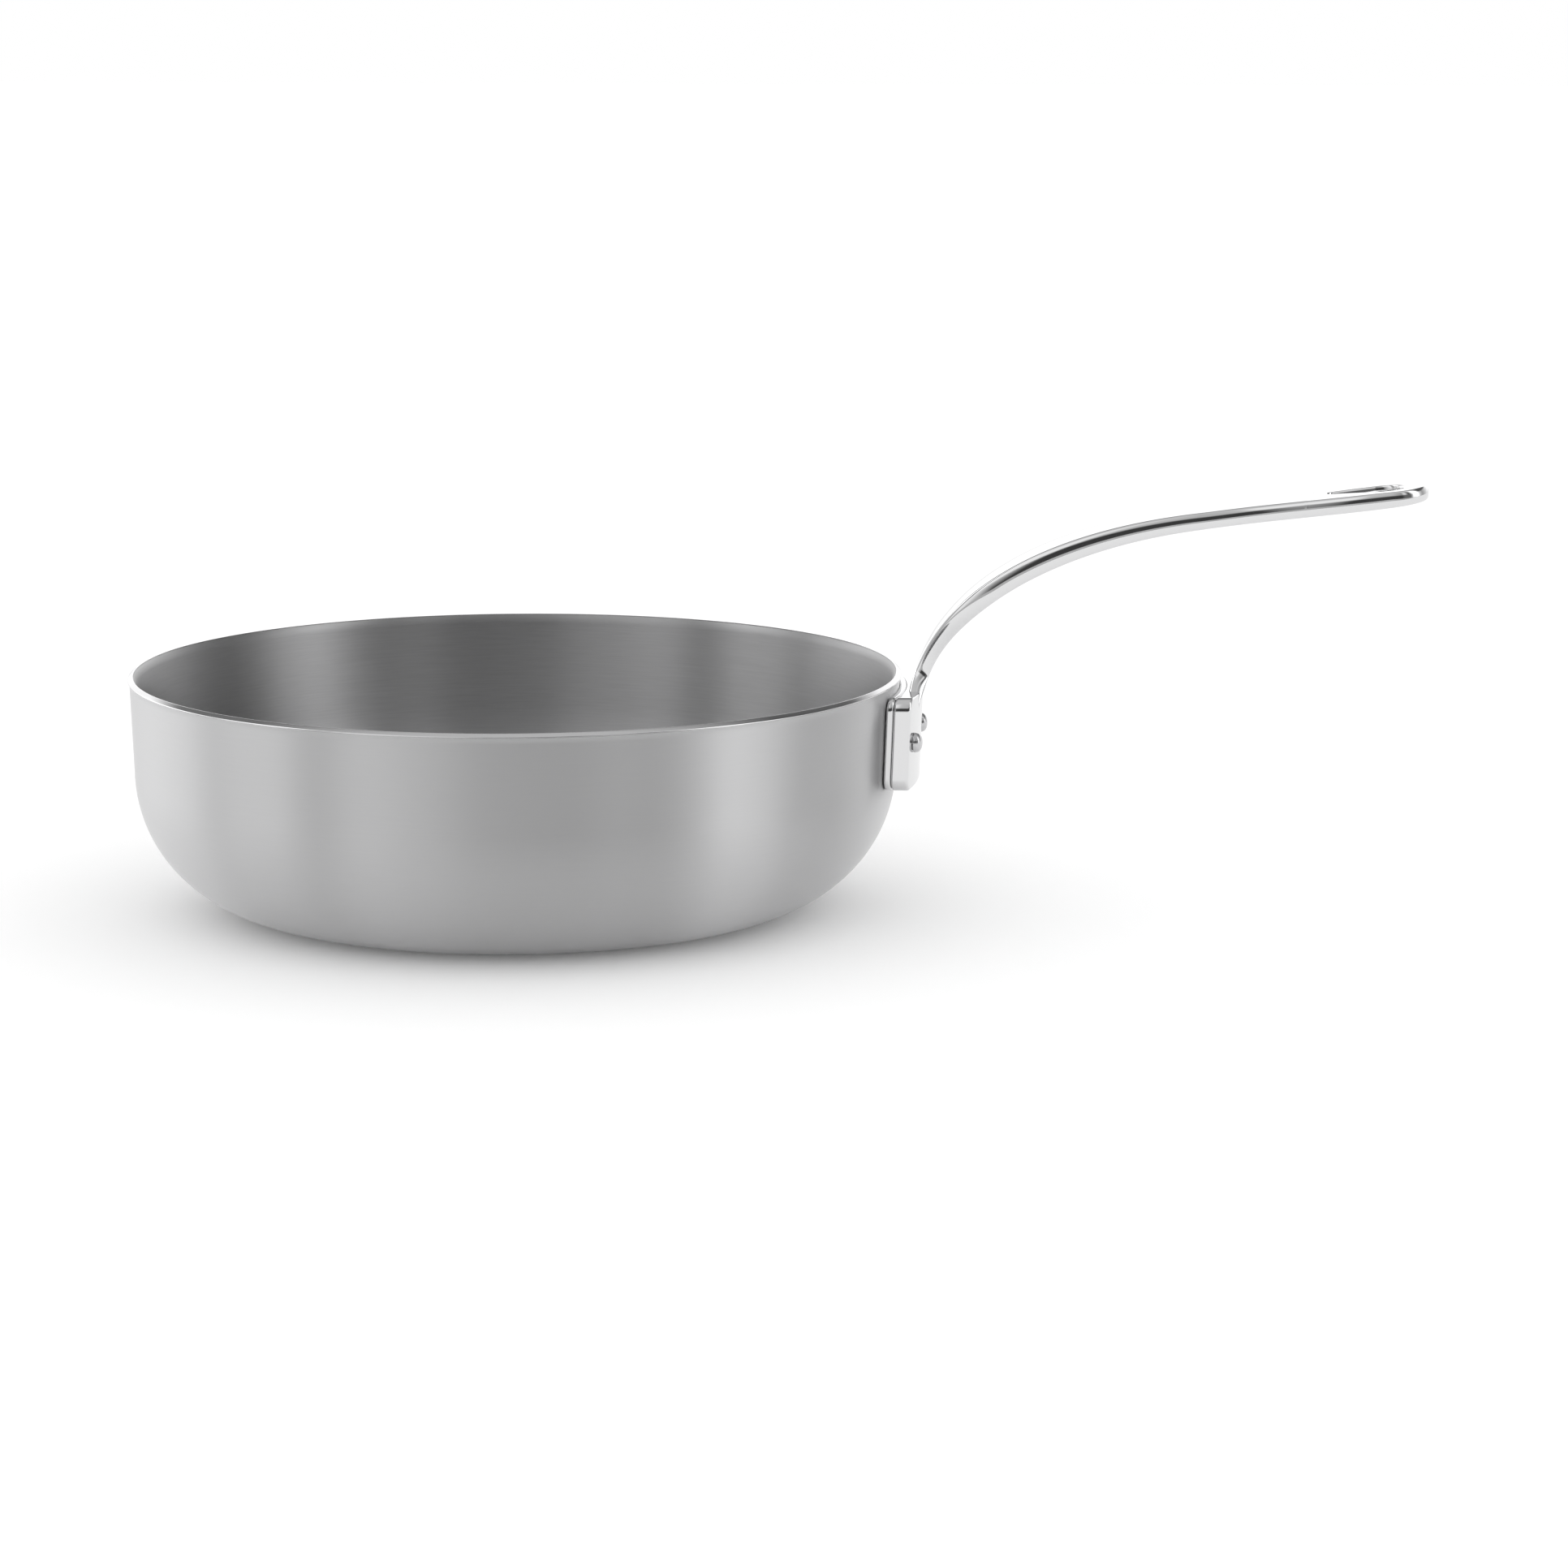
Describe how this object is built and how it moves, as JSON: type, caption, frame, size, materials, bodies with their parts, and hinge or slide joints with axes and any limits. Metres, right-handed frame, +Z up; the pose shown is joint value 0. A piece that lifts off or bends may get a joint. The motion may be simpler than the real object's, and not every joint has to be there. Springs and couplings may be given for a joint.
{
  "type": "saucier pan",
  "caption": "Open saucier pan with a rounded lower corner, a flared rim and an arched cast handle with a hanging hole, riveted on through a pad.",
  "frame": {"origin": "centre of the flat base, on the surface that the pan stands on", "axes": "+Z up, +X along the handle, +Y across it"},
  "size_m": [0.4062, 0.2432, 0.1359],
  "materials": {
    "pan_steel": "brushed inside, fine satin outside",
    "handle_steel": "mirror polished stainless casting",
    "rivet_steel": "satin stainless"
  },
  "bodies": {
    "root": {"pan_body": "pan_steel", "handle": "handle_steel", "handle_pad": "handle_steel", "rivet_near": "rivet_steel", "rivet_far": "rivet_steel"}
  },
  "joints": []
}
